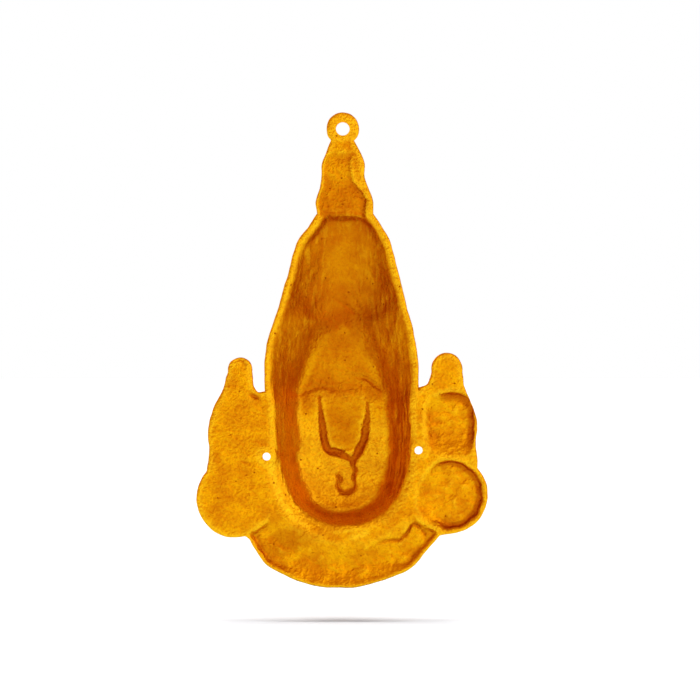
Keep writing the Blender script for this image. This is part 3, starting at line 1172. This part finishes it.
def beadPath():  # the strings' lines, on the carved front
    lines, edges, shares = [], [], []
    for line, share, closed in beadLines():
        line = spaced(np.vstack([line, line[:1]]), 0.5)[:-1] if closed else spaced(line, 0.5)
        first, count = len(shares), len(line)
        steps = count if closed else count - 1
        edges += [(first + i, first + (i + 1) % count) for i in range(steps)]
        lines.append(line)
        shares += [share] * count
    plan = np.vstack(lines)
    heights = frontHeight(*plan.T) - beads["sunkMm"]
    plan = wavered(plan)
    mesh = bpy.data.meshes.new("bead_path")
    places = np.column_stack([plan[:, 0], -heights, plan[:, 1]]) * toMetres
    mesh.from_pydata(places.tolist(), edges, [])
    addShare(mesh, "bead_share", shares)
    return mesh


def beadTree(material):
    tree = bpy.data.node_groups.new("cast_bead_strings", "GeometryNodeTree")
    for name, kind in (("Path", "Geometry"), ("Bead Diameter", "Float"), ("Spacing", "Float"),
                       ("Size Scatter", "Float"), ("Seed", "Int")):
        tree.interface.new_socket(name=name, in_out="INPUT", socket_type="NodeSocket" + kind)
    tree.interface.new_socket(name="Beads", in_out="OUTPUT", socket_type="NodeSocketGeometry")
    given = addNode(tree, "NodeGroupInput").outputs
    share = addNode(tree, "GeometryNodeInputNamedAttribute", {"Name": "bead_share"},
                    data_type="FLOAT").outputs["Attribute"]
    size = mathNode(tree, "MULTIPLY", given["Bead Diameter"], share)
    step = mathNode(tree, "MULTIPLY", size, given["Spacing"])
    curve = addNode(tree, "GeometryNodeMeshToCurve", {"Mesh": given["Path"]})
    even = addNode(tree, "GeometryNodeResampleCurve", {"Curve": curve, "Length": step},
                   mode="LENGTH")
    bead = addNode(tree, "GeometryNodeMeshUVSphere",
                   {"Segments": beads["segments"], "Rings": beads["rings"], "Radius": 0.5})
    bead = addNode(tree, "GeometryNodeSetShadeSmooth", {"Geometry": bead.outputs["Mesh"]})
    least = mathNode(tree, "SUBTRACT", 1.0, given["Size Scatter"])
    most = mathNode(tree, "ADD", 1.0, given["Size Scatter"])
    uneven = addNode(tree, "FunctionNodeRandomValue", {2: least, 3: most, "Seed": given["Seed"]},
                     data_type="FLOAT")
    scale = mathNode(tree, "MULTIPLY", size, uneven.outputs[1])
    placed = addNode(tree, "GeometryNodeInstanceOnPoints",
                     {"Points": even, "Instance": bead, "Scale": scale})
    real = addNode(tree, "GeometryNodeRealizeInstances", {0: placed})
    finished = addNode(tree, "GeometryNodeSetMaterial", {"Material": material, "Geometry": real})
    addNode(tree, "NodeGroupOutput", {"Beads": finished})
    return tree


def beadMesh(material):
    path = bpy.data.objects.new("bead_path", beadPath())
    bpy.context.scene.collection.objects.link(path)
    modifier = path.modifiers.new("beads", "NODES")
    modifier.node_group = beadTree(material)
    given = {
        "Bead Diameter": beads["diameterMm"] * toMetres, "Spacing": beads["spacing"],
        "Size Scatter": beads["scatter"], "Seed": beads["seed"],
    }
    for socket in modifier.node_group.interface.items_tree:
        if socket.name in given:
            modifier[socket.identifier] = given[socket.name]
    evaluated = path.evaluated_get(bpy.context.evaluated_depsgraph_get())
    mesh = bpy.data.meshes.new_from_object(evaluated)
    bpy.data.objects.remove(path)
    return mesh


# Build

rootBody = "root"
brass = castBrass()
casting = bpy.data.objects.new("deity_face_casting", castingSkin())
casting.data.materials.append(brass)
bpy.context.scene.collection.objects.link(casting)
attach(casting, rootBody)
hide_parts(castingNode)
print("casting skin made,", len(casting.data.polygons), "triangles")

strings = bpy.data.objects.new("cast_bead_strings", beadMesh(brass))
bpy.context.scene.collection.objects.link(strings)
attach(strings, rootBody)
print("bead strings made,", len(strings.data.polygons), "faces")


# Floor, light and camera

photo = {
    "frameMm": 224.0, "centre": (-2.32, -70.85), "floorZ": -158.0,
    "distance": 1.1, "sensorMm": 36.0,
}
studio = {
    "paper": "#A4A4A4",
    "paperGlow": 0.23,  # the table under the paper is lit from below
    "floorSun": 7.2,  # lights only the paper, so the brass stays soft
    "floorSunDegrees": 38.0,
    "paperFill": 0.3,
    "paperFillColour": "#9CCBFF",  # cool, against the warm light off the brass
    "room": "#F0B67C",  # what the brass mirrors away from the lamps
    "roomStrength": 0.87,
    "paperHalfSize": 9.0,
    "middle": (0.0, -0.008, -0.085),  # what the softboxes face, in metres
    "softboxes": (  # name, place from the middle, size, watts
        ("softbox_back", (-0.22, 0.95, 0.3), 0.6, 0.94),  # beside the camera
        ("softbox_side", (-0.78, 0.6, 0.42), 0.35, 1.5),
        ("softbox_front", (0.4, -1.0, 0.45), 0.8, 3.4),  # for views of the front
    ),
}


def whiteFloor():  # matt paper on a light table
    material = newMaterial("matt_white_paper")
    tree = material.node_tree
    shader = addNode(tree, "ShaderNodeBsdfPrincipled", {
        "Base Color": linear(studio["paper"]), "Roughness": 0.95,
        "Emission Color": (1.0, 1.0, 1.0, 1.0), "Emission Strength": studio["paperGlow"],
    })
    addNode(tree, "ShaderNodeOutputMaterial", {"Surface": shader})
    mesh = bpy.data.meshes.new("floor")
    size, z = studio["paperHalfSize"], photo["floorZ"] * toMetres
    corners = [(-size, -size, z), (size, -size, z), (size, size, z), (-size, size, z)]
    mesh.from_pydata(corners, [], [(0, 1, 2, 3)])
    mesh.materials.append(material)
    floor = bpy.data.objects.new("floor", mesh)
    paper = bpy.data.collections.new("paper")
    paper.objects.link(floor)
    bpy.context.scene.collection.children.link(paper)
    return paper


def addLamp(name, kind, place, target, **settings):
    lamp = bpy.data.lights.new(name, kind)
    for key, value in settings.items():
        setattr(lamp, key, value)
    holder = bpy.data.objects.new(name, lamp)
    holder.location = place
    holder.rotation_euler = (Vector(target) - Vector(place)).to_track_quat("-Z", "Y").to_euler()
    holder.visible_camera = False
    bpy.context.scene.collection.objects.link(holder)
    return holder


def whiteWorld():
    world = bpy.data.worlds.new("white_room")
    world.use_nodes = True
    world.cycles.sampling_method = "NONE"  # so that the ray kinds below hold for every ray
    tree = world.node_tree
    tree.nodes.clear()
    rays = addNode(tree, "ShaderNodeLightPath")
    room = addNode(tree, "ShaderNodeBackground",
                   {"Color": linear(studio["room"]), "Strength": studio["roomStrength"]})
    soft = addNode(tree, "ShaderNodeBackground",
                   {"Color": linear(studio["paperFillColour"]), "Strength": studio["paperFill"]})
    seen = addNode(tree, "ShaderNodeBackground", {"Color": (1, 1, 1, 1), "Strength": 1.0})
    diffuse, direct = rays.outputs["Is Diffuse Ray"], rays.outputs["Is Camera Ray"]
    lit = addNode(tree, "ShaderNodeMixShader", {0: diffuse, 1: room, 2: soft})
    mixed = addNode(tree, "ShaderNodeMixShader", {0: direct, 1: lit, 2: seen})
    addNode(tree, "ShaderNodeOutputWorld", {"Surface": mixed})
    bpy.context.scene.world = world


paper = whiteFloor()
whiteWorld()
middle = Vector(studio["middle"])
for name, offset, size, watts in studio["softboxes"]:
    addLamp(name, "AREA", middle + Vector(offset), middle, shape="DISK", size=size, energy=watts)
floorSun = addLamp("floor_sun", "SUN", (0.0, 0.0, 1.0), (0.0, 0.0, 0.0),
                   angle=math.radians(studio["floorSunDegrees"]), energy=studio["floorSun"])
floorSun.light_linking.receiver_collection = paper

camera = bpy.data.objects.new("camera", bpy.data.cameras.new("camera"))
camera.data.sensor_width = photo["sensorMm"]
camera.data.lens = photo["distance"] * camera.data.sensor_width / (photo["frameMm"] * toMetres)
camera.location = (photo["centre"][0] * toMetres, photo["distance"], photo["centre"][1] * toMetres)
camera.rotation_euler = (math.radians(90), 0.0, math.radians(180))
camera.data.clip_start, camera.data.clip_end = 0.01, 30.0
bpy.context.scene.collection.objects.link(camera)
bpy.context.scene.camera = camera
bpy.context.scene.view_settings.view_transform = "Standard"
print("stage, lights and camera set")
